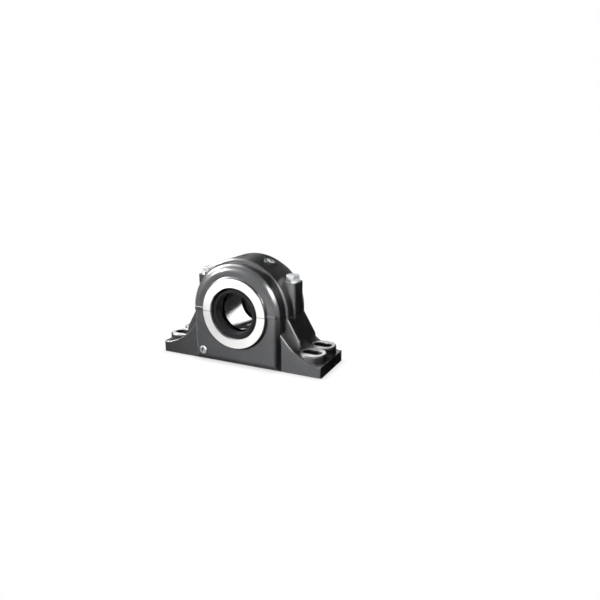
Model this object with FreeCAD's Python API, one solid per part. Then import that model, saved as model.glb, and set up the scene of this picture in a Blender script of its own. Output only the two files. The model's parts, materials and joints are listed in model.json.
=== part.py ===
"""Split pillow block for an inch shaft: cast base and cap around a self-aligning roller bearing.

Frame: +X along the base, +Y along the shaft, +Z up, origin at the middle of the base's underside.
The front of the block looks towards -Y. All lengths are millimetres.
"""
import FreeCAD
import Part
import math
import os

Vec = FreeCAD.Vector

# Shaft and housing envelope
shaft_diameter = 61.91
shaft_height = 82.55
base_length = 282.0
base_width = 84.0
foot_height = 17.5
foot_edge_round = 2.5

# Main body behind the panel
barrel_wall = 16.5
barrel_width = 58.5
barrel_round = 3.0
flare_start_drop = 3.55
flare_knee_run = 0.446
flare_knee_rise = 0.382
flare_end_inset = 10.0

# Foot web, one step forward of the body
web_top_drop = 8.55
web_knee_run = 0.333
web_knee_rise = 0.487
web_end_inset = 5.0

# Raised panel and hub
panel_inset = 12.0
panel_root_inset = 6.5
panel_proud = 6.0
panel_bottom_height = 8.0
panel_root_height = 1.0
panel_round = 8.0
panel_arch_round = 17.0
hub_margin = 14.6
hub_mouth_radius = 40.8
hub_proud = 3.0
hub_bevel = 1.0
hub_root_round = 2.5
cap_lip_height = 4.5
cap_lip_proud = 1.2
cap_lip_round = 1.0

# Base bolts, two at each foot
base_bolt_inset = 23.525
base_bolt_spacing_y = 38.1
slot_width = 17.5
slot_length = 30.0
pad_radius = 21.0
pad_height = 30.0
pad_round = 2.0
pad_root_round = 1.5
spotface_margin = 1.5

# Cap bolts and dowels
cap_bolt_wall = 10.5
cap_bolt_diameter = 12.0
cap_bolt_depth_in_base = 30.0
cap_bolt_end_room = 6.0
cap_bolt_clearance = 0.5
thread_gap = 0.02
bolt_head_across_flats = 19.0
bolt_head_height = 7.5
bolt_head_bevel_angle = 30.0
bolt_head_top_inset = 0.3
cap_bolt_seat_room = 1.2
washer_outer_radius = 10.6
washer_thickness = 3.0
washer_split = 2.0
washer_split_slant = 20.0
boss_margin = 10.7
boss_root = 17.5
boss_width = 30.4
boss_rise = 47.45
boss_drop = 30.55
boss_round = 4.0
dowel_diameter = 6.0
dowel_length = 20.0
dowel_wall = 10.0
dowel_offset_y = 21.5
dowel_gap = 0.02
dowel_end_gap = 0.5

# Roller bearing
bearing_outer_radius = 65.0
bearing_width = 31.0
bearing_bore_radius = 37.5
bore_taper = 1.0 / 24.0
seat_gap = 0.02
outer_ring_wall = 5.5
roller_share = 0.531
roller_length = 11.6
roller_row_offset = 8.2
rollers_per_row = 16
roller_gap = 0.15
roller_bevel = 0.5
cage_thickness = 2.6
cage_end_inset = 0.3
cage_gap = 0.3
guide_ring_thickness = 1.8
guide_ring_depth = 6.0
guide_ring_gap = 0.3
oil_groove_width = 5.0
oil_groove_depth = 1.2
oil_hole_radius = 2.0
oil_hole_count = 3

# Pieces that hold the bearing
stabilizing_ring_width = 13.0
stabilizing_ring_radial = 8.0
stabilizing_ring_opening = 24.0
sleeve_tail = 3.0
sleeve_slit = 3.0
sleeve_gap = 0.02
sleeve_thread_radius = 37.3
sleeve_nose = 2.5
lock_washer_thickness = 1.5
lock_washer_inset = 0.5
lock_washer_tabs = 17
lock_washer_tab_height = 3.5
lock_washer_tab_width = 6.0
lock_nut_wall = 11.65
lock_nut_width = 13.0
lock_nut_slots = 4
lock_nut_slot_width = 8.0
lock_nut_slot_depth = 3.5
nut_thread_gap = 0.05

# Seals
chamber_shoulder = 5.0
chamber_depth = 12.0
seal_shaft_gap = 0.25
seal_gap = 0.5
seal_inner_inset = 16.5
seal_outer_inset = 4.5
seal_nose_inset = 2.5
seal_nose_radius = 36.4
seal_nose_bevel = 1.0
labyrinth_depth = 5.2
labyrinth_width = 3.4
labyrinth_insets = (12.5, 7.5)
seal_ring_section = 2.2
seal_ring_inset = 10.0
seal_ring_squeeze = 0.05

# Plugs
drain_reach = -59.0
drain_height = 16.5
plug_radius = 6.6
plug_length = 12.0
plug_proud = 0.8
plug_bevel = 0.5
plug_socket_across_flats = 6.4
plug_socket_depth = 6.0
plug_gap = 0.02
drain_passage_radius = 3.0
drain_tip_reach = -14.0
drain_tip_drop = 56.5
grease_plug_angle = 64.5
grease_plug_place = 6.0
grease_pad_radius = 10.5
grease_pad_proud = 1.5
grease_pad_root = 4.0
grease_passage_radius = 2.5

# Worked out once from the sizes above
axis_point = Vec(0, 0, shaft_height)
along_y = Vec(0, 1, 0)
up = Vec(0, 0, 1)
seat_width = bearing_width + stabilizing_ring_width
seat_half = seat_width / 2.0
bearing_rear = seat_half
bearing_front = bearing_rear - bearing_width
bearing_middle = (bearing_front + bearing_rear) / 2.0
bearing_centre = Vec(0, bearing_middle, shaft_height)
shaft_radius = shaft_diameter / 2.0
lock_nut_bore_radius = sleeve_thread_radius + nut_thread_gap
lock_nut_radius = lock_nut_bore_radius + lock_nut_wall
lock_washer_radius = lock_nut_radius - lock_washer_inset - lock_washer_tab_height
half_length = base_length / 2.0
half_width = base_width / 2.0
barrel_radius = bearing_outer_radius + barrel_wall
panel_half = barrel_radius - panel_inset
panel_root_half = barrel_radius - panel_root_inset
hub_face_radius = panel_half - hub_margin
panel_front = half_width + panel_proud
hub_front = panel_front + hub_proud
labyrinth_places = [hub_front - inset for inset in labyrinth_insets]
seal_ring_place = hub_front - seal_ring_inset
seal_nose_end = hub_front - seal_nose_inset
base_bolt_reach = half_length - base_bolt_inset
base_bolt_place = base_bolt_spacing_y / 2.0
cap_bolt_reach = bearing_outer_radius + cap_bolt_wall
boss_top_height = shaft_height + boss_rise
chamber_radius = bearing_outer_radius - chamber_shoulder
chamber_wall = seat_half + chamber_depth
race_sphere_radius = bearing_outer_radius - outer_ring_wall
roller_diameter = roller_share * (bearing_outer_radius - bearing_bore_radius)
pitch_radius = race_sphere_radius - roller_gap - roller_diameter / 2.0
contact_angle = math.asin(roller_row_offset / pitch_radius)
tall = shaft_height + barrel_radius + 60.0
far = 2.0 * base_length
sharp_below = 0.1


def cylinder_y(radius, start, end):
    """Solid cylinder on the shaft axis between two places along Y."""
    return Part.makeCylinder(radius, end - start, Vec(0, start, shaft_height), along_y)


def ring_y(outer, inner, start, end):
    """Plain ring on the shaft axis."""
    return cylinder_y(outer, start, end).cut(cylinder_y(inner, start, end))


def turned(points):
    """Solid turned about the shaft axis from (radius, place along Y) corners."""
    corners = [Vec(radius, place, shaft_height) for radius, place in points]
    face = Part.Face(Part.makePolygon(corners + corners[:1]))
    return face.revolve(axis_point, along_y, 360)


def box(x0, x1, y0, y1, z0, z1):
    """Box between two corners."""
    return Part.makeBox(x1 - x0, y1 - y0, z1 - z0, Vec(x0, y0, z0))


def half_space(side):
    """Everything above the split (1) or below it (-1)."""
    if side > 0:
        return box(-far, far, -far, far, shaft_height, tall)
    return box(-far, far, -far, far, -1.0, shaft_height)


def extruded(wire, width):
    """Outline in the XZ plane, drawn out evenly to both sides of the middle plane."""
    face = Part.Face(wire)
    face.translate(Vec(0, -width / 2.0, 0))
    return face.extrude(Vec(0, width, 0))


def line(a, b):
    return Part.LineSegment(Vec(a[0], 0, a[1]), Vec(b[0], 0, b[1])).toShape()


def tangent_arc(before, knee, end):
    """Arc in the XZ plane from a knee to an end, tangent to the line that leads to the knee."""
    slope = math.atan2(knee[1] - before[1], knee[0] - before[0])
    chord = math.atan2(end[1] - knee[1], end[0] - knee[0])
    sag = math.hypot(end[0] - knee[0], end[1] - knee[1]) / 2.0 * math.tan((chord - slope) / 2.0)
    middle = Vec((knee[0] + end[0]) / 2.0 + sag * math.sin(chord), 0,
                 (knee[1] + end[1]) / 2.0 - sag * math.cos(chord))
    return Part.Arc(Vec(knee[0], 0, knee[1]), middle, Vec(end[0], 0, end[1])).toShape()


def outline_edges(solid, width):
    """Edges of an extruded outline that lie on its front and rear faces."""
    half = width / 2.0
    return [e for e in solid.Edges
            if abs(e.BoundBox.YMin - e.BoundBox.YMax) < 1e-6 and abs(abs(e.BoundBox.YMin) - half) < 1e-6]


def rounded_outline(solid, width, radius, above):
    """Round the front and rear edges of an outline above a height, so that the underside stays sharp."""
    edges = [e for e in outline_edges(solid, width) if e.BoundBox.ZMax > above]
    return solid.makeFillet(radius, edges)


def mirrored_x(shape):
    return shape.mirror(Vec(0, 0, 0), Vec(1, 0, 0))


def foot_profile(top, knee_run, knee_rise, end_inset):
    """Outline of both feet: a straight slope from the top to a knee, then an arc to the foot's flat top."""
    end = (half_length - end_inset, foot_height)
    knee = (top[0] + knee_run * (end[0] - top[0]), foot_height + knee_rise * (top[1] - foot_height))
    tip = (half_length, foot_height)
    toe = (half_length, 0)
    right = [line((0, top[1]), top), line(top, knee), tangent_arc(top, knee, end), line(end, tip),
             line(tip, toe), line(toe, (0, 0))]
    return Part.Wire(Part.__sortEdges__(right + [mirrored_x(edge) for edge in right]))


def main_body():
    """Barrel around the bearing, whose sides flare out below the split into the feet."""
    barrel = cylinder_y(barrel_radius, -barrel_width / 2.0, barrel_width / 2.0)
    barrel = barrel.makeFillet(barrel_round, outline_edges(barrel, barrel_width))
    start_reach = math.sqrt(barrel_radius ** 2 - flare_start_drop ** 2)
    flare = foot_profile((start_reach, shaft_height - flare_start_drop), flare_knee_run, flare_knee_rise,
                         flare_end_inset)
    lower = rounded_outline(extruded(flare, barrel_width), barrel_width, foot_edge_round,
                            foot_height + sharp_below)
    return barrel.fuse(lower)


def foot_web():
    """Forward foot plate with a lower sweep than the body behind it."""
    web = foot_profile((panel_half - panel_round, shaft_height - web_top_drop), web_knee_run, web_knee_rise,
                       web_end_inset)
    return rounded_outline(extruded(web, base_width), base_width, foot_edge_round, sharp_below)


def panel_section(half, bottom, place):
    """Square outline of the panel at a place along Y, from its bottom to a little above the split."""
    top = shaft_height + foot_height
    corners = [Vec(x, place, z) for x, z in ((-half, bottom), (half, bottom), (half, top), (-half, top))]
    return Part.makePolygon(corners + corners[:1])


def panel():
    """Raised panel at the front and rear, square below the split and round above it."""
    face = (panel_half, panel_bottom_height)
    root = (panel_root_half, panel_root_height)
    sections = [panel_section(*face, -panel_front), panel_section(*root, -half_width),
                panel_section(*root, half_width), panel_section(*face, panel_front)]
    block = Part.makeLoft(sections, True, True)
    rim = [e for e in outline_edges(block, 2.0 * panel_front) if e.BoundBox.ZMin < shaft_height]
    square = block.makeFillet(panel_round, rim).common(half_space(-1))
    arch = turned([(0, -panel_front), (panel_half, -panel_front), (panel_root_half, -half_width),
                   (panel_root_half, half_width), (panel_half, panel_front), (0, panel_front)])
    arch = arch.makeFillet(panel_arch_round, outline_edges(arch, 2.0 * panel_front))
    return square.fuse(arch.common(half_space(1)))


def cap_lip():
    """Bead along the lower edge of the cap's panel."""
    half = panel_half + cap_lip_proud
    depth = panel_front + cap_lip_proud
    bead = box(-half, half, -depth, depth, shaft_height, shaft_height + cap_lip_height)
    return bead.makeFillet(cap_lip_round, [e for e in bead.Edges if e.BoundBox.ZMax > shaft_height + 1e-6])


def cove_ring(radius, room):
    """Ring about the Z axis that fills the corner between a post and the flat below it, at height 0."""
    low = -room
    swing = room * (1.0 - math.sqrt(0.5))
    arc = Part.Arc(Vec(radius + room, 0, 0), Vec(radius + swing, 0, swing), Vec(radius, 0, room))
    corners = [Vec(radius, 0, room), Vec(radius - room, 0, room), Vec(radius - room, 0, low),
               Vec(radius + room, 0, low), Vec(radius + room, 0, 0)]
    wire = Part.Wire([arc.toShape()] + Part.makePolygon(corners).Edges)
    return Part.Face(wire).revolve(Vec(0, 0, 0), up, 360)


def hub():
    """Round hub with machined faces at both ends, rounded into the panels at its root."""
    solid = cylinder_y(hub_face_radius, -hub_front, hub_front)
    solid = solid.makeChamfer(hub_bevel, outline_edges(solid, 2.0 * hub_front))
    for outward in (along_y, along_y * -1):
        cove = cove_ring(hub_face_radius, hub_root_round)
        cove.Placement = FreeCAD.Placement(axis_point + outward * panel_front, FreeCAD.Rotation(up, outward))
        solid = solid.fuse(cove)
    return solid


def boss(side):
    """Upright block that carries one cap bolt through both halves."""
    reach = cap_bolt_reach + boss_margin
    block = box(cap_bolt_reach - boss_root, reach, -boss_width / 2.0, boss_width / 2.0,
                shaft_height - boss_drop, boss_top_height)
    upright = [e for e in block.Edges
               if e.BoundBox.ZLength > 1.0 and abs(e.BoundBox.XMax - reach) < 1e-6]
    block = block.makeFillet(boss_round, upright)
    return block if side > 0 else mirrored_x(block)


def foot_pad(place):
    """Round machined pad around a base bolt slot."""
    root_height = foot_height / 2.0
    pad = Part.makeCylinder(pad_radius, pad_height - root_height, place + up * root_height)
    rim = [e for e in pad.Edges if abs(e.BoundBox.ZMin - pad_height) < 1e-6 and e.BoundBox.ZLength < 1e-6]
    pad = pad.makeFillet(pad_round, rim)
    cove = cove_ring(pad_radius, pad_root_round)
    cove.translate(place + up * foot_height)
    return pad.fuse(cove)


def foot_slot(place):
    """Through slot for a base bolt."""
    straight = slot_length - slot_width
    radius = slot_width / 2.0
    start = place - up
    cutter = box(-straight / 2.0, straight / 2.0, -radius, radius, 0, tall)
    cutter.translate(start)
    for end in (-1, 1):
        cutter = cutter.fuse(Part.makeCylinder(radius, tall, start + Vec(end * straight / 2.0, 0, 0)))
    return cutter


def spotface(place):
    """Room above a pad for its bolt's washer."""
    return Part.makeCylinder(pad_radius - spotface_margin, tall, place + up * pad_height)


def seal_chamber(front):
    """Chamber, labyrinth grooves and mouth at one end of the housing."""
    sign = -1.0 if front else 1.0

    def between(radius, inner, outer):
        start, end = sorted((sign * inner, sign * outer))
        return cylinder_y(radius, start, end)

    space = between(chamber_radius, seat_half, chamber_wall)
    space = space.fuse(between(hub_mouth_radius, chamber_wall, 2.0 * hub_front))
    groove_radius = hub_mouth_radius + labyrinth_depth
    half = labyrinth_width / 2.0
    for place in labyrinth_places:
        space = space.fuse(between(groove_radius, place - half, place + half))
    return space


def hex_prism(across_flats, height, place, direction):
    """Hexagonal prism standing on a point along a direction."""
    radius = across_flats / math.sqrt(3.0)
    corners = [Vec(radius * math.cos(math.radians(60 * i)), radius * math.sin(math.radians(60 * i)), 0)
               for i in range(6)]
    prism = Part.Face(Part.makePolygon(corners + corners[:1])).extrude(Vec(0, 0, height))
    prism.Placement = FreeCAD.Placement(place, FreeCAD.Rotation(up, direction))
    return prism


def plug(place, outward):
    """Threaded pipe plug with a hexagonal socket, standing a little proud of its seat."""
    start = place - outward * (plug_length - plug_proud)
    body = Part.makeCylinder(plug_radius, plug_length, start, outward)
    rim = [e for e in body.Edges if len(e.Vertexes) == 1]
    body = body.makeChamfer(plug_bevel, rim)
    socket_floor = place + outward * (plug_proud - plug_socket_depth)
    return body.cut(hex_prism(plug_socket_across_flats, plug_socket_depth + 1.0, socket_floor, outward))


def plug_hole(place, outward):
    start = place - outward * (plug_length - plug_proud)
    return Part.makeCylinder(plug_radius + plug_gap, plug_length + plug_proud, start, outward)


def rod(start, end, radius):
    """Round bar between two points."""
    return Part.makeCylinder(radius, (end - start).Length, start, end - start)


# Where the base bolts and the two plugs sit
base_bolt_places = [Vec(x, y, 0) for x in (-base_bolt_reach, base_bolt_reach)
                    for y in (-base_bolt_place, base_bolt_place)]
drain_place = Vec(drain_reach, -panel_front, drain_height)
drain_outward = Vec(0, -1, 0)
drain_tip = Vec(drain_tip_reach, -(seat_half + chamber_wall) / 2.0, shaft_height - drain_tip_drop)
grease_outward = Vec(math.cos(math.radians(grease_plug_angle)), 0, math.sin(math.radians(grease_plug_angle)))
grease_axis_foot = Vec(0, grease_plug_place, shaft_height)
grease_place = grease_axis_foot + grease_outward * (barrel_radius + grease_pad_proud)


def casting():
    """Both housing halves as one block, before the split."""
    grease_pad = rod(grease_axis_foot + grease_outward * (barrel_radius - grease_pad_root), grease_place,
                     grease_pad_radius)
    pieces = [foot_web(), panel(), hub(), cap_lip(), boss(1), boss(-1), grease_pad]
    pieces += [foot_pad(place) for place in base_bolt_places]
    drain_start = drain_place - drain_outward * (plug_length - plug_proud - drain_passage_radius)
    cutters = [cylinder_y(bearing_outer_radius + seat_gap, -seat_half, seat_half),
               seal_chamber(True), seal_chamber(False),
               plug_hole(drain_place, drain_outward), rod(drain_start, drain_tip, drain_passage_radius),
               plug_hole(grease_place, grease_outward),
               rod(grease_axis_foot, grease_place, grease_passage_radius)]
    for place in base_bolt_places:
        cutters += [spotface(place), foot_slot(place)]
    for side in (-1, 1):
        cutters += cap_bolt_holes(side)
    return main_body().multiFuse(pieces).cut(cutters).removeSplitter()


def cap_bolt_holes(side):
    """Clearance hole, threaded hole, washer seat and pin hole at one end of the split."""
    middle = Vec(side * cap_bolt_reach, 0, shaft_height)
    thread_depth = cap_bolt_depth_in_base + cap_bolt_end_room
    return [Part.makeCylinder(cap_bolt_diameter / 2.0 + cap_bolt_clearance, tall, middle),
            Part.makeCylinder(cap_bolt_diameter / 2.0 + thread_gap, thread_depth, middle - up * thread_depth),
            Part.makeCylinder(washer_outer_radius + cap_bolt_seat_room, tall, middle + up * boss_rise),
            Part.makeCylinder(dowel_diameter / 2.0 + dowel_gap, dowel_length + 2.0 * dowel_end_gap,
                              dowel_foot(side) - up * dowel_end_gap)]


def dowel_foot(side):
    """Lower end of a locating pin: the two stand on opposite corners of the split."""
    reach = bearing_outer_radius + dowel_wall
    return Vec(side * reach, side * dowel_offset_y, shaft_height - dowel_length / 2.0)


def cap_bolt(side):
    """Hexagon bolt with a bevelled head, screwed into the base."""
    bolt_x = side * cap_bolt_reach
    seat = boss_top_height + washer_thickness
    shank_end = shaft_height - cap_bolt_depth_in_base
    shank = Part.makeCylinder(cap_bolt_diameter / 2.0, seat - shank_end, Vec(bolt_x, 0, shank_end))
    head = hex_prism(bolt_head_across_flats, bolt_head_height, Vec(bolt_x, 0, seat), up)
    top_radius = bolt_head_across_flats / 2.0 - bolt_head_top_inset
    foot_radius = top_radius + bolt_head_height / math.tan(math.radians(bolt_head_bevel_angle))
    bevel = Part.makeCone(foot_radius, top_radius, bolt_head_height, Vec(bolt_x, 0, seat))
    return head.common(bevel).fuse(shank).removeSplitter()


def spring_washer(side):
    """Split spring washer under a cap bolt's head."""
    place = Vec(side * cap_bolt_reach, 0, boss_top_height)
    ring = Part.makeCylinder(washer_outer_radius, washer_thickness, place)
    ring = ring.cut(Part.makeCylinder(cap_bolt_diameter / 2.0 + cap_bolt_clearance, washer_thickness, place))
    half = washer_split / 2.0
    gap = box(-half, half, -washer_outer_radius - 1.0, 0, -1.0, washer_thickness + 1.0)
    gap.rotate(Vec(0, 0, 0), along_y, washer_split_slant)
    gap.translate(place)
    return ring.cut(gap)


def roller_blank(radius_growth, length_growth, bevel):
    """Barrel roller about the Z axis, centred on the origin."""
    half = roller_length / 2.0 + length_growth
    profile = race_sphere_radius - roller_gap
    end_radius = math.sqrt(profile ** 2 - half ** 2) - pitch_radius + radius_growth
    middle_radius = roller_diameter / 2.0 + radius_growth
    shoulder = half - bevel
    shoulder_radius = math.sqrt(profile ** 2 - shoulder ** 2) - pitch_radius + radius_growth
    low, high = Vec(shoulder_radius, 0, -shoulder), Vec(shoulder_radius, 0, shoulder)
    arc = Part.Arc(low, Vec(middle_radius, 0, 0), high)
    corners = [high, Vec(end_radius - bevel, 0, half), Vec(0, 0, half),
               Vec(0, 0, -half), Vec(end_radius - bevel, 0, -half), low]
    wire = Part.Wire([arc.toShape()] + Part.makePolygon(corners).Edges)
    return Part.Face(wire).revolve(Vec(0, 0, 0), up, 360)


def roller_direction(row, index):
    """Outward direction from the bearing's middle to a roller, and the roller's own axis."""
    turn = 2.0 * math.pi * (index + (0.5 if row > 0 else 0.0)) / rollers_per_row
    radial = Vec(math.cos(turn), 0, math.sin(turn))
    outward = radial * math.cos(contact_angle) + along_y * (row * math.sin(contact_angle))
    axis = along_y * math.cos(contact_angle) - radial * (row * math.sin(contact_angle))
    return outward, axis


def placed_roller(blank, row, index):
    outward, axis = roller_direction(row, index)
    roller = blank.copy()
    roller.Placement = FreeCAD.Placement(bearing_centre + outward * pitch_radius, FreeCAD.Rotation(up, axis))
    return roller


def bearing_outer_ring():
    """Outer ring with a spherical race, an oil groove and its radial holes."""
    ring = cylinder_y(bearing_outer_radius, bearing_front, bearing_rear)
    ring = ring.cut(Part.makeSphere(race_sphere_radius, bearing_centre))
    half = oil_groove_width / 2.0
    ring = ring.cut(ring_y(bearing_outer_radius + 1.0, bearing_outer_radius - oil_groove_depth,
                           bearing_middle - half, bearing_middle + half))
    for index in range(oil_hole_count):
        turn = 2.0 * math.pi * index / oil_hole_count + math.pi / 2.0
        direction = Vec(math.cos(turn), 0, math.sin(turn))
        ring = ring.cut(rod(bearing_centre, bearing_centre + direction * (bearing_outer_radius + 1.0),
                            oil_hole_radius))
    return ring


def inner_race_radius(place):
    """Radius of the inner race at a distance from the bearing's middle plane."""
    centre_radius = 2.0 * pitch_radius * math.cos(contact_angle)
    centre_place = 2.0 * roller_row_offset
    return centre_radius - math.sqrt(race_sphere_radius ** 2 - (abs(place) - centre_place) ** 2)


def bore_radius(place_y):
    """Tapered bore radius of the inner ring, narrow towards the lock nut."""
    return bearing_bore_radius + (place_y - bearing_front) * bore_taper


def bearing_inner_ring():
    """Inner ring with two hollow races and a tapered bore."""
    half = bearing_width / 2.0
    rib = guide_ring_thickness / 2.0

    def point(radius, place):
        return Vec(radius, bearing_middle + place, shaft_height)

    def race(a, b):
        middle = (a + b) / 2.0
        return Part.Arc(*[point(inner_race_radius(p), p) for p in (a, middle, b)]).toShape()

    rib_radius = inner_race_radius(rib)
    end_radius = inner_race_radius(half)
    corners = [point(end_radius, half), point(bore_radius(bearing_rear), half),
               point(bore_radius(bearing_front), -half), point(end_radius, -half)]
    edges = [race(-half, -rib),
             Part.LineSegment(point(rib_radius, -rib), point(rib_radius, rib)).toShape(),
             race(rib, half)] + Part.makePolygon(corners).Edges
    return Part.Face(Part.Wire(edges)).revolve(axis_point, along_y, 360)


def guide_ring():
    """Loose ring between the two roller rows."""
    inner = inner_race_radius(guide_ring_thickness / 2.0) + guide_ring_gap
    half = guide_ring_thickness / 2.0
    return ring_y(inner + guide_ring_depth, inner, bearing_middle - half, bearing_middle + half)


def cage(row):
    """Pronged cage of one row: an outer rim with a prong between each two rollers."""
    radius = pitch_radius * math.cos(contact_angle)
    inner, outer = radius - cage_thickness / 2.0, radius + cage_thickness / 2.0
    start = guide_ring_thickness / 2.0 + cage_gap
    end = bearing_width / 2.0 - cage_end_inset
    near, away = sorted((bearing_middle + row * start, bearing_middle + row * end))
    ring = ring_y(outer, inner, near, away)
    pocket = roller_blank(cage_gap, cage_gap, 0.0)
    for index in range(rollers_per_row):
        ring = ring.cut(placed_roller(pocket, row, index))
    return ring


def adapter_sleeve():
    """Slit sleeve with a tapered outside, pulled through the bearing by the lock nut."""
    rear = bearing_rear + sleeve_tail
    nose = bearing_front - lock_washer_thickness - lock_nut_width - sleeve_nose
    sleeve = turned([(shaft_radius, nose), (sleeve_thread_radius, nose),
                     (sleeve_thread_radius, bearing_front),
                     (bore_radius(bearing_front) - sleeve_gap, bearing_front),
                     (bore_radius(rear) - sleeve_gap, rear), (shaft_radius, rear)])
    slit = box(-sleeve_slit / 2.0, sleeve_slit / 2.0, nose - 1.0, rear + 1.0, shaft_height,
               shaft_height + bearing_outer_radius)
    return sleeve.cut(slit)


def lock_washer():
    """Toothed washer between the inner ring and the lock nut, with a tongue in the sleeve's slit."""
    front = bearing_front - lock_washer_thickness
    inner = sleeve_thread_radius + nut_thread_gap
    ring = ring_y(lock_washer_radius, inner, front, bearing_front)
    half = lock_washer_tab_width / 2.0
    for index in range(lock_washer_tabs):
        tab = box(-half, half, front, bearing_front, shaft_height + lock_washer_radius - 1.0,
                  shaft_height + lock_washer_radius + lock_washer_tab_height)
        tab.rotate(axis_point, along_y, 360.0 * index / lock_washer_tabs)
        ring = ring.fuse(tab)
    tongue_half = sleeve_slit / 2.0 - nut_thread_gap
    tongue = box(-tongue_half, tongue_half, front, bearing_front, shaft_height + shaft_radius + 2.0,
                 shaft_height + inner + 1.0)
    return ring.fuse(tongue).removeSplitter()


def lock_nut():
    """Round nut with spanner slots, screwed on the sleeve's nose."""
    rear = bearing_front - lock_washer_thickness
    front = rear - lock_nut_width
    nut = ring_y(lock_nut_radius, lock_nut_bore_radius, front, rear)
    half = lock_nut_slot_width / 2.0
    for index in range(lock_nut_slots):
        slot = box(-half, half, front - 1.0, rear + 1.0, shaft_height + lock_nut_radius - lock_nut_slot_depth,
                   shaft_height + lock_nut_radius + 1.0)
        slot.rotate(axis_point, along_y, 360.0 * (index + 0.5) / lock_nut_slots)
        nut = nut.cut(slot)
    return nut


def stabilizing_ring():
    """Open spacer ring that keeps the bearing against the far shoulder of its seat."""
    inner = bearing_outer_radius - stabilizing_ring_radial
    ring = ring_y(bearing_outer_radius, inner, -seat_half, bearing_front)
    half = stabilizing_ring_opening / 2.0
    return ring.cut(box(-half, half, -far, far, 0, shaft_height))


def seal_ring(front):
    """Labyrinth ring that turns with the shaft, its fins running in the housing's grooves."""
    sign = -1.0 if front else 1.0
    inner = shaft_radius + seal_shaft_gap
    body = hub_mouth_radius - seal_gap
    fin = hub_mouth_radius + labyrinth_depth - seal_gap
    start = hub_front - seal_inner_inset
    end = hub_front - seal_outer_inset
    corners = [(inner, start), (body, start)]
    for place in labyrinth_places:
        low = place - labyrinth_width / 2.0 + seal_gap
        high = place + labyrinth_width / 2.0 - seal_gap
        corners += [(body, low), (fin, low), (fin, high), (body, high)]
    corners += [(body, end), (seal_nose_radius, end),
                (seal_nose_radius, seal_nose_end - seal_nose_bevel),
                (seal_nose_radius - seal_nose_bevel, seal_nose_end),
                (inner + seal_nose_bevel, seal_nose_end), (inner, seal_nose_end - seal_nose_bevel)]
    groove_half = seal_ring_section / 2.0 + seal_ring_squeeze
    groove_radius = inner + seal_ring_section + seal_ring_squeeze
    corners += [(inner, seal_ring_place + groove_half), (groove_radius, seal_ring_place + groove_half),
                (groove_radius, seal_ring_place - groove_half), (inner, seal_ring_place - groove_half)]
    return turned([(radius, sign * place) for radius, place in corners])


def seal_o_ring(front):
    """Rubber ring that grips the shaft inside a labyrinth ring."""
    sign = -1.0 if front else 1.0
    section = seal_ring_section / 2.0
    inner = shaft_radius + seal_shaft_gap
    return Part.makeTorus(inner + section, section, Vec(0, sign * seal_ring_place, shaft_height), along_y)


def export(name, shape):
    """Write one piece, checked, to its own file."""
    if not shape.isValid() or len(shape.Solids) != 1:
        print("CHECK", name, "valid", shape.isValid(), "solids", len(shape.Solids))
    solid = shape.Solids[0] if len(shape.Solids) == 1 else shape
    solid.exportStep("parts/%s.step" % name)


def main():
    os.makedirs("parts", exist_ok=True)
    block = casting()
    export("housing_base", block.common(half_space(-1)))
    export("housing_cap", block.common(half_space(1)))
    for side, word in ((-1, "left"), (1, "right")):
        export("cap_bolt_" + word, cap_bolt(side))
        export("spring_washer_" + word, spring_washer(side))
        export("dowel_pin_" + word, Part.makeCylinder(dowel_diameter / 2.0, dowel_length, dowel_foot(side)))
    export("drain_plug", plug(drain_place, drain_outward))
    export("grease_plug", plug(grease_place, grease_outward))
    export("bearing_outer_ring", bearing_outer_ring())
    export("bearing_inner_ring", bearing_inner_ring())
    export("guide_ring", guide_ring())
    export("stabilizing_ring", stabilizing_ring())
    export("adapter_sleeve", adapter_sleeve())
    export("lock_washer", lock_washer())
    export("lock_nut", lock_nut())
    blank = roller_blank(0.0, 0.0, roller_bevel)
    for row, word in ((-1, "front"), (1, "rear")):
        front = row < 0
        export("seal_ring_" + word, seal_ring(front))
        export("seal_o_ring_" + word, seal_o_ring(front))
        export("cage_" + word, cage(row))
        for index in range(rollers_per_row):
            export("roller_%s_%02d" % (word, index + 1), placed_roller(blank, row, index))


main()
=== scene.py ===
"""Looks of the split pillow block: painted casting, machined faces, plated bolts and a polished sleeve.

Metres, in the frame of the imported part: +X along the base, +Y along the shaft, +Z up.
"""
import json
import math

import bpy
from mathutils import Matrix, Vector


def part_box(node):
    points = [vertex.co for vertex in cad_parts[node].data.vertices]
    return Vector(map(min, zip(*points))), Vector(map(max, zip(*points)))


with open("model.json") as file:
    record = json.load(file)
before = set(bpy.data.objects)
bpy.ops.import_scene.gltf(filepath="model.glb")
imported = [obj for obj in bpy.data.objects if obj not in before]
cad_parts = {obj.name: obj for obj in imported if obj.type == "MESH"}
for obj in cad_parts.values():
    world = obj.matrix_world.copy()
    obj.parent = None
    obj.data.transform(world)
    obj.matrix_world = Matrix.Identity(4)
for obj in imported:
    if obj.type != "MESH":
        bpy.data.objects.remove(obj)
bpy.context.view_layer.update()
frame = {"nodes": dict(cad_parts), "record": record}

# Sizes of the part that the finishes follow
MM = 0.001
record_mounts = {mount["name"]: mount for mount in frame["record"]["mounts"]}
SHAFT_HEIGHT = record_mounts["shaft_bore"]["pos_m"][2]
BASE_BOLTS = record_mounts["base_bolts"]["dims"]
SLOT_REACH = BASE_BOLTS["spacing_x_mm"] * MM / 2.0
SLOT_PLACE = BASE_BOLTS["spacing_y_mm"] * MM / 2.0
HUB_FACE_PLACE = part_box("housing_base")[1].y
HUB_FACE_RADIUS = 0.0539
MOUTH_RADIUS = 0.0408
PAD_TOP = 0.030
PAD_FLAT_RADIUS = 0.019
BOSS_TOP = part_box("spring_washer_right")[0].z
BOLT_REACH = sum(corner.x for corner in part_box("cap_bolt_right")) / 2.0
SEAT_FLAT_RADIUS = 0.0118

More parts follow.
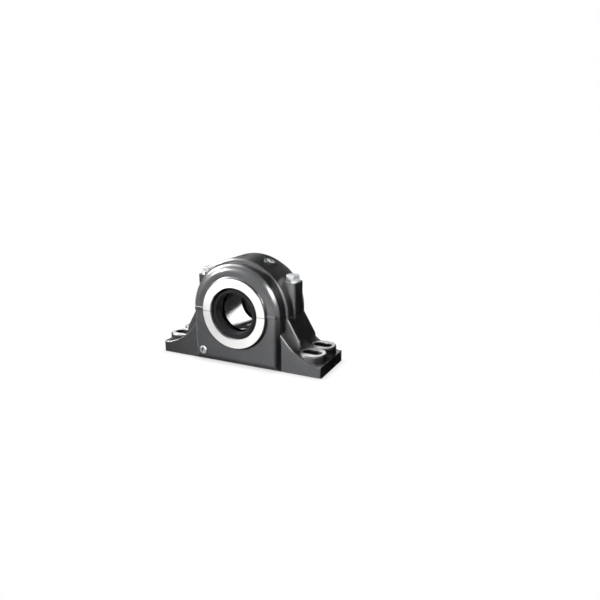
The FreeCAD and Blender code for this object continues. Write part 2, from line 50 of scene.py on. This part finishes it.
# How far from a machined plane a point still counts as on it, and half the width of the split line
FACE_SKIN = 0.00025
SPLIT_HALF_WIDTH = 0.0005

# Camera of the photograph's view
CAMERA_PLACE = (0.41421, -0.69533, 0.30314)
CAMERA_AZIMUTH = math.radians(25.17)
CAMERA_ELEVATION = math.radians(14.63)
FOCAL_PIXELS = 526.5
FRAME_PIXELS = 600.0
SENSOR_MM = 36.0

# A mix node's sockets for each kind of data: factor, first and second input, and the result
FLOAT_SOCKETS = (0, 2, 3, 0)
COLOUR_SOCKETS = (0, 6, 7, 2)


# Node building helpers

def new_material(name):
    material = bpy.data.materials.new(name)
    material.use_nodes = True
    shader = material.node_tree.nodes["Principled BSDF"]
    return material, material.node_tree, shader


def put(tree, kind, **settings):
    """Add a node and set its properties."""
    node = tree.nodes.new(kind)
    for key, value in settings.items():
        setattr(node, key, value)
    return node


def feed(tree, socket, value):
    """Link an output socket to an input, or set the input's value."""
    if isinstance(value, bpy.types.NodeSocket):
        tree.links.new(value, socket)
    else:
        socket.default_value = value


def math_node(tree, operation, *values):
    node = put(tree, "ShaderNodeMath", operation=operation)
    for socket, value in zip(node.inputs, values):
        feed(tree, socket, value)
    return node.outputs[0]


def mix(tree, kind, sockets, values):
    *inputs, output = sockets
    node = put(tree, "ShaderNodeMix", data_type=kind)
    for index, value in zip(inputs, values):
        feed(tree, node.inputs[index], value)
    return node.outputs[output]


def mix_values(tree, factor, low, high):
    return mix(tree, "FLOAT", FLOAT_SOCKETS, (factor, low, high))


def mix_colours(tree, factor, low, high):
    return mix(tree, "RGBA", COLOUR_SOCKETS, (factor, low, high))


def noise(tree, vector, scale, detail, roughness=0.5):
    node = put(tree, "ShaderNodeTexNoise")
    feed(tree, node.inputs["Vector"], vector)
    for name, value in (("Scale", scale), ("Detail", detail), ("Roughness", roughness)):
        feed(tree, node.inputs[name], value)
    return node.outputs[0]


def bump(tree, height, strength, depth):
    node = put(tree, "ShaderNodeBump")
    feed(tree, node.inputs["Height"], height)
    node.inputs["Strength"].default_value = strength
    node.inputs["Distance"].default_value = depth
    return node.outputs[0]


def object_place(tree):
    return put(tree, "ShaderNodeTexCoord").outputs["Object"]


def axes_of(tree, place):
    """The X, Y and Z of a place, each as its own socket."""
    node = put(tree, "ShaderNodeSeparateXYZ")
    feed(tree, node.inputs[0], place)
    return [node.outputs[axis] for axis in "XYZ"]


def group_start(name, inputs, outputs):
    """Shader node group with a Place input, float inputs given by name and default, and float outputs."""
    tree = bpy.data.node_groups.new(name, "ShaderNodeTree")
    tree.interface.new_socket("Place", in_out="INPUT", socket_type="NodeSocketVector")
    for socket_name, default in inputs.items():
        socket = tree.interface.new_socket(socket_name, in_out="INPUT", socket_type="NodeSocketFloat")
        socket.default_value = default
    for socket_name in outputs:
        tree.interface.new_socket(socket_name, in_out="OUTPUT", socket_type="NodeSocketFloat")
    return tree, put(tree, "NodeGroupInput").outputs, put(tree, "NodeGroupOutput").inputs


def use_group(tree, group, **values):
    """Place a group and set its inputs, with an underscore for each space in a socket's name."""
    node = put(tree, "ShaderNodeGroup", node_tree=group)
    for name, value in values.items():
        feed(tree, node.inputs[name.replace("_", " ")], value)
    return node.outputs


# Shared surface effects

def cast_grain_group():
    """Unevenness of a rough surface: fine grain over slow waves, and a slow change of tone."""
    tree, given, result = group_start(
        "cast_grain",
        {"Grain Scale": 900.0, "Wave Scale": 60.0, "Wave Share": 0.5},
        ("Height", "Tone"))
    grain = noise(tree, given["Place"], given["Grain Scale"], detail=3.0, roughness=0.55)
    wave = noise(tree, given["Place"], given["Wave Scale"], detail=2.0)
    feed(tree, result["Height"], mix_values(tree, given["Wave Share"], grain, wave))
    feed(tree, result["Tone"], wave)
    return tree


def turning_group():
    """Fine tool lines around the shaft axis, for faces and bores cut on a lathe."""
    tree, given, result = group_start("turning_lines", {"Pitch": 0.0006}, ("Height", "Tone", "Radius"))
    x, y, z = axes_of(tree, given["Place"])
    rise = math_node(tree, "SUBTRACT", z, SHAFT_HEIGHT)
    rise_squared = math_node(tree, "MULTIPLY", rise, rise)
    reach_squared = math_node(tree, "MULTIPLY", x, x)
    radius = math_node(tree, "SQRT", math_node(tree, "ADD", rise_squared, reach_squared))
    travel = math_node(tree, "ADD", radius, math_node(tree, "ABSOLUTE", y))
    turns = math_node(tree, "DIVIDE", travel, given["Pitch"])
    wobble = noise(tree, given["Place"], scale=40.0, detail=2.0)
    angle = math_node(tree, "MULTIPLY", math_node(tree, "ADD", turns, wobble), 2 * math.pi)
    wave = math_node(tree, "SINE", angle)
    feed(tree, result["Height"], math_node(tree, "MULTIPLY_ADD", wave, 0.5, 0.5))
    feed(tree, result["Tone"], noise(tree, given["Place"], scale=110.0, detail=4.0))
    feed(tree, result["Radius"], radius)
    return tree


def machined_zone_group():
    """Where the casting is bare: hub faces, mouths, pads, bolt seats and underside. Also the split line."""
    tree, given, result = group_start("machined_zones", {}, ("Bare", "Split"))
    x, y, z = axes_of(tree, given["Place"])
    radius = use_group(tree, turning, Place=given["Place"])["Radius"]

    def both(a, b):
        return math_node(tree, "MULTIPLY", a, b)

    def either(a, b):
        return math_node(tree, "MAXIMUM", a, b)

    def under(value, limit):
        return math_node(tree, "LESS_THAN", value, limit)

    def near(value, place, room):
        return math_node(tree, "COMPARE", value, place, room)

    def beyond(value, reach):
        return math_node(tree, "SUBTRACT", math_node(tree, "ABSOLUTE", value), reach)

    def flat_disc(reach, place, top, flat_radius):
        away = beyond(x, reach)
        aside = beyond(y, place)
        distance = math_node(tree, "SQRT", math_node(tree, "ADD", both(away, away), both(aside, aside)))
        return both(near(z, top, FACE_SKIN), under(distance, flat_radius))

    hub_planes = near(math_node(tree, "ABSOLUTE", y), HUB_FACE_PLACE, FACE_SKIN)
    hub = both(hub_planes, under(radius, HUB_FACE_RADIUS))
    mouth = under(radius, MOUTH_RADIUS + FACE_SKIN)
    pads = flat_disc(SLOT_REACH, SLOT_PLACE, PAD_TOP, PAD_FLAT_RADIUS)
    seats = flat_disc(BOLT_REACH, 0.0, BOSS_TOP, SEAT_FLAT_RADIUS)
    underside = under(z, FACE_SKIN)
    feed(tree, result["Bare"], either(either(hub, mouth), either(either(pads, seats), underside)))
    feed(tree, result["Split"], near(z, SHAFT_HEIGHT, SPLIT_HALF_WIDTH))
    return tree


cast_grain = cast_grain_group()
turning = turning_group()
machined_zones = machined_zone_group()


# Finishes

PAINT_COLOURS = ((0.050, 0.051, 0.053, 1.0), (0.070, 0.071, 0.073, 1.0))
PAINT_ROUGHNESS = (0.21, 0.29)
PAINT_SPECULAR = 0.45
PAINT_BUMP = 0.20
PAINT_DEPTH = 0.0004
BARE_IRON = (0.58, 0.58, 0.57, 1.0)
BARE_ROUGHNESS = (0.42, 0.52)
BARE_METALLIC = 0.6
BARE_PITCH = 0.0007
SPLIT_SHADE = (0.012, 0.012, 0.012, 1.0)
SPLIT_COVER = 0.75


def painted_casting():
    """Dark grey enamel over a sand casting, left bare where the casting was machined."""
    material, tree, shader = new_material("painted_casting")
    place = object_place(tree)
    grain = use_group(tree, cast_grain, Place=place, Grain_Scale=420.0, Wave_Scale=45.0, Wave_Share=0.7)
    lines = use_group(tree, turning, Place=place, Pitch=BARE_PITCH)
    zone = use_group(tree, machined_zones, Place=place)
    paint = mix_colours(tree, grain["Tone"], *PAINT_COLOURS)
    surface = mix_colours(tree, zone["Bare"], paint, BARE_IRON)
    joint = math_node(tree, "MULTIPLY", zone["Split"], SPLIT_COVER)
    feed(tree, shader.inputs["Base Color"], mix_colours(tree, joint, surface, SPLIT_SHADE))
    feed(tree, shader.inputs["Metallic"], math_node(tree, "MULTIPLY", zone["Bare"], BARE_METALLIC))
    paint_rough = mix_values(tree, grain["Tone"], *PAINT_ROUGHNESS)
    bare_rough = mix_values(tree, lines["Tone"], *BARE_ROUGHNESS)
    feed(tree, shader.inputs["Roughness"], mix_values(tree, zone["Bare"], paint_rough, bare_rough))
    height = mix_values(tree, zone["Bare"], grain["Height"], lines["Height"])
    feed(tree, shader.inputs["Normal"], bump(tree, height, PAINT_BUMP, PAINT_DEPTH))
    shader.inputs["Specular IOR Level"].default_value = PAINT_SPECULAR
    return material


def patterned(name, group, pattern, colours, roughness, strength, depth=0.0001, metallic=1.0, specular=0.5):
    """Finish with two colours and two roughnesses mixed by a group's tone, and a bump by its height."""
    material, tree, shader = new_material(name)
    surface = use_group(tree, group, Place=object_place(tree), **pattern)
    feed(tree, shader.inputs["Base Color"], mix_colours(tree, surface["Tone"], *colours))
    feed(tree, shader.inputs["Roughness"], mix_values(tree, surface["Tone"], *roughness))
    feed(tree, shader.inputs["Normal"], bump(tree, surface["Height"], strength, depth))
    shader.inputs["Metallic"].default_value = metallic
    shader.inputs["Specular IOR Level"].default_value = specular
    return material


def zinc_plate():
    """Dull zinc plate: faint crystal mottling over drawn steel."""
    mottling = {"Grain_Scale": 1600.0, "Wave_Scale": 260.0, "Wave_Share": 0.7}
    return patterned("zinc_plate", cast_grain, mottling,
                     colours=((0.34, 0.35, 0.36, 1.0), (0.46, 0.47, 0.48, 1.0)),
                     roughness=(0.46, 0.58), strength=0.12, depth=0.0002)


def ground_steel():
    """Hard bearing steel, ground bright."""
    return patterned("ground_steel", turning, {"Pitch": 0.0003},
                     colours=((0.56, 0.57, 0.58, 1.0), (0.66, 0.67, 0.68, 1.0)),
                     roughness=(0.16, 0.26), strength=0.1)


def sleeve_steel():
    """The sleeve's turned and polished steel."""
    return patterned("sleeve_steel", turning, {"Pitch": 0.0005},
                     colours=((0.74, 0.75, 0.76, 1.0), (0.82, 0.83, 0.84, 1.0)),
                     roughness=(0.10, 0.16), strength=0.03)


def black_phosphate():
    """Dull black coat over turned steel."""
    return patterned("black_phosphate", turning, {"Pitch": 0.0008},
                     colours=((0.006, 0.006, 0.007, 1.0), (0.011, 0.011, 0.012, 1.0)),
                     roughness=(0.44, 0.56), strength=0.2, metallic=0.0, specular=0.1)


def seal_rubber():
    """Matt black nitrile rubber with a faint bloom."""
    bloom = {"Grain_Scale": 2200.0, "Wave_Scale": 300.0, "Wave_Share": 0.4}
    return patterned("seal_rubber", cast_grain, bloom,
                     colours=((0.016, 0.016, 0.016, 1.0), (0.030, 0.030, 0.030, 1.0)),
                     roughness=(0.62, 0.80), strength=0.2, metallic=0.0)


def cage_brass():
    """Turned brass of the cages."""
    return patterned("cage_brass", turning, {"Pitch": 0.0006},
                     colours=((0.60, 0.45, 0.20, 1.0), (0.70, 0.55, 0.28, 1.0)),
                     roughness=(0.24, 0.36), strength=0.2)


finishes = {
    "painted_casting": painted_casting(),
    "zinc_plated_steel": zinc_plate(),
    "bearing_steel": ground_steel(),
    "polished_steel": sleeve_steel(),
    "blackened_steel": black_phosphate(),
    "seal_rubber": seal_rubber(),
    "cage_brass": cage_brass(),
}
slot_of_node = {row["node"]: row["material_slot"] for row in frame["record"]["subparts"]}
for node_name, node_object in frame["nodes"].items():
    node_object.data.materials.clear()
    node_object.data.materials.append(finishes[slot_of_node[node_name]])


# Studio

FLOOR_REACH = 6.0
FLOOR_BOUNCE = (0.04, 0.04, 0.04, 1.0)
FLOOR_ROUGHNESS = 0.9
CONTACT_REACH = 0.012
CONTACT_SAMPLES = 8
# Colour of the painted shadow on the floor where the part stands
PAINTED_CONTACT_SHADOW = (0.55, 0.55, 0.55, 1.0)
WHITE = (1.0, 1.0, 1.0, 1.0)
AIR_GLOW = 0.02
LIGHT_AIM = (0.0, 0.0, 0.08)
CARD_SIDES = 48


def link(piece):
    bpy.context.scene.collection.objects.link(piece)
    return piece


def white_floor():
    """Floor that shows plain white with a faint painted shadow at contact, and is dim in the part's
    reflections.
    """
    mesh = bpy.data.meshes.new("floor")
    corners = ((-1, -1), (1, -1), (1, 1), (-1, 1))
    mesh.from_pydata([(x * FLOOR_REACH, y * FLOOR_REACH, 0.0) for x, y in corners], [], [(0, 1, 2, 3)])
    piece = link(bpy.data.objects.new("floor", mesh))
    material, tree, shader = new_material("white_floor")
    shader.inputs["Base Color"].default_value = FLOOR_BOUNCE
    shader.inputs["Roughness"].default_value = FLOOR_ROUGHNESS
    shader.inputs["Specular IOR Level"].default_value = 0.0
    # Painted shadow: ambient occlusion darkens the floor's white glow near the part
    contact = put(tree, "ShaderNodeAmbientOcclusion", samples=CONTACT_SAMPLES)
    contact.inputs["Distance"].default_value = CONTACT_REACH
    seen = put(tree, "ShaderNodeEmission")
    feed(tree, seen.inputs["Color"], mix_colours(tree, contact.outputs["AO"], PAINTED_CONTACT_SHADOW, WHITE))
    choice = put(tree, "ShaderNodeMixShader")
    feed(tree, choice.inputs[0], put(tree, "ShaderNodeLightPath").outputs["Is Camera Ray"])
    feed(tree, choice.inputs[1], shader.outputs[0])
    feed(tree, choice.inputs[2], seen.outputs[0])
    feed(tree, tree.nodes["Material Output"].inputs["Surface"], choice.outputs[0])
    mesh.materials.append(material)


def facing(place, aim):
    """Turn of a light or card at a place, so that it faces its aim."""
    return (Vector(aim) - Vector(place)).to_track_quat("-Z", "Y")


def area_light(name, place, size, power, aim=LIGHT_AIM, spread=180.0, mirrored=True):
    """Round light with a spread in degrees, which can be kept out of reflections."""
    light = bpy.data.lights.new(name, "AREA")
    light.shape = "DISK"
    light.size = size
    light.energy = power
    light.spread = math.radians(spread)
    lamp = link(bpy.data.objects.new(name, light))
    lamp.location = place
    lamp.rotation_euler = facing(place, aim).to_euler()
    lamp.visible_glossy = mirrored


def gloss_card(name, place, size, glow, aim=LIGHT_AIM):
    """Round bright card that shows only in reflections, as strips of light on glossy edges."""
    angles = [2.0 * math.pi * step / CARD_SIDES for step in range(CARD_SIDES)]
    rim = [Vector((math.cos(angle), math.sin(angle), 0.0)) * size / 2.0 for angle in angles]
    turn = facing(place, aim)
    mesh = bpy.data.meshes.new(name)
    mesh.from_pydata([turn @ point + Vector(place) for point in rim], [], [tuple(range(CARD_SIDES))])
    card = link(bpy.data.objects.new(name, mesh))
    material, tree, shader = new_material(name)
    tree.nodes.remove(shader)
    light = put(tree, "ShaderNodeEmission")
    light.inputs["Strength"].default_value = glow
    feed(tree, tree.nodes["Material Output"].inputs["Surface"], light.outputs[0])
    material.cycles.emission_sampling = "NONE"
    mesh.materials.append(material)
    for rays in ("camera", "diffuse", "transmission", "volume_scatter", "shadow"):
        setattr(card, "visible_" + rays, False)


def studio_air():
    """White where the camera sees past the part, and dim all around for its reflections."""
    world = bpy.data.worlds.new("studio_air")
    bpy.context.scene.world = world
    world.use_nodes = True
    tree = world.node_tree
    seen = put(tree, "ShaderNodeLightPath").outputs["Is Camera Ray"]
    sky = tree.nodes["Background"]
    sky.inputs["Color"].default_value = WHITE
    feed(tree, sky.inputs["Strength"], mix_values(tree, seen, AIR_GLOW, 1.0))


def studio():
    """Key from the left, a narrow beam on the right boss, light from above and behind, and the cards."""
    white_floor()
    studio_air()
    area_light("key_beam", place=(-1.13, -1.01, 0.63), size=0.3, power=2.9,
               aim=(0.31, -0.04, 0.05), spread=26.0)
    area_light("right_beam", place=(-0.24, -1.37, 0.22), size=0.04, power=0.45,
               aim=(0.15, -0.03, 0.11), spread=7.0, mirrored=False)
    area_light("top_light", place=(-0.45, -0.25, 1.0), size=0.35, power=4.0)
    area_light("rear_left_light", place=(-0.8, 1.0, 0.8), size=0.6, power=1.5)
    area_light("rear_fill", place=(0.1, 1.5, 0.4), size=0.8, power=9.0, mirrored=False)
    gloss_card("left_card", place=(-0.92, -0.03, 0.80), size=0.8, glow=28.0)
    gloss_card("arch_card", place=(0.75, -0.85, 0.56), size=0.55, glow=48.0)
    gloss_card("side_card", place=(1.3, 0.1, 0.2), size=0.8, glow=3.2)
    gloss_card("bore_card", place=(0.03, 0.26, 0.13), size=0.24, glow=1.5, aim=(0.0, 0.05, 0.08))


def camera():
    lens = bpy.data.cameras.new("camera")
    lens.sensor_width = SENSOR_MM
    lens.lens = SENSOR_MM * FOCAL_PIXELS / FRAME_PIXELS
    eye = link(bpy.data.objects.new("camera", lens))
    eye.location = CAMERA_PLACE
    eye.rotation_euler = (0.5 * math.pi - CAMERA_ELEVATION, 0.0, CAMERA_AZIMUTH)
    bpy.context.scene.camera = eye


studio()
camera()
bpy.context.scene.view_settings.view_transform = "Standard"
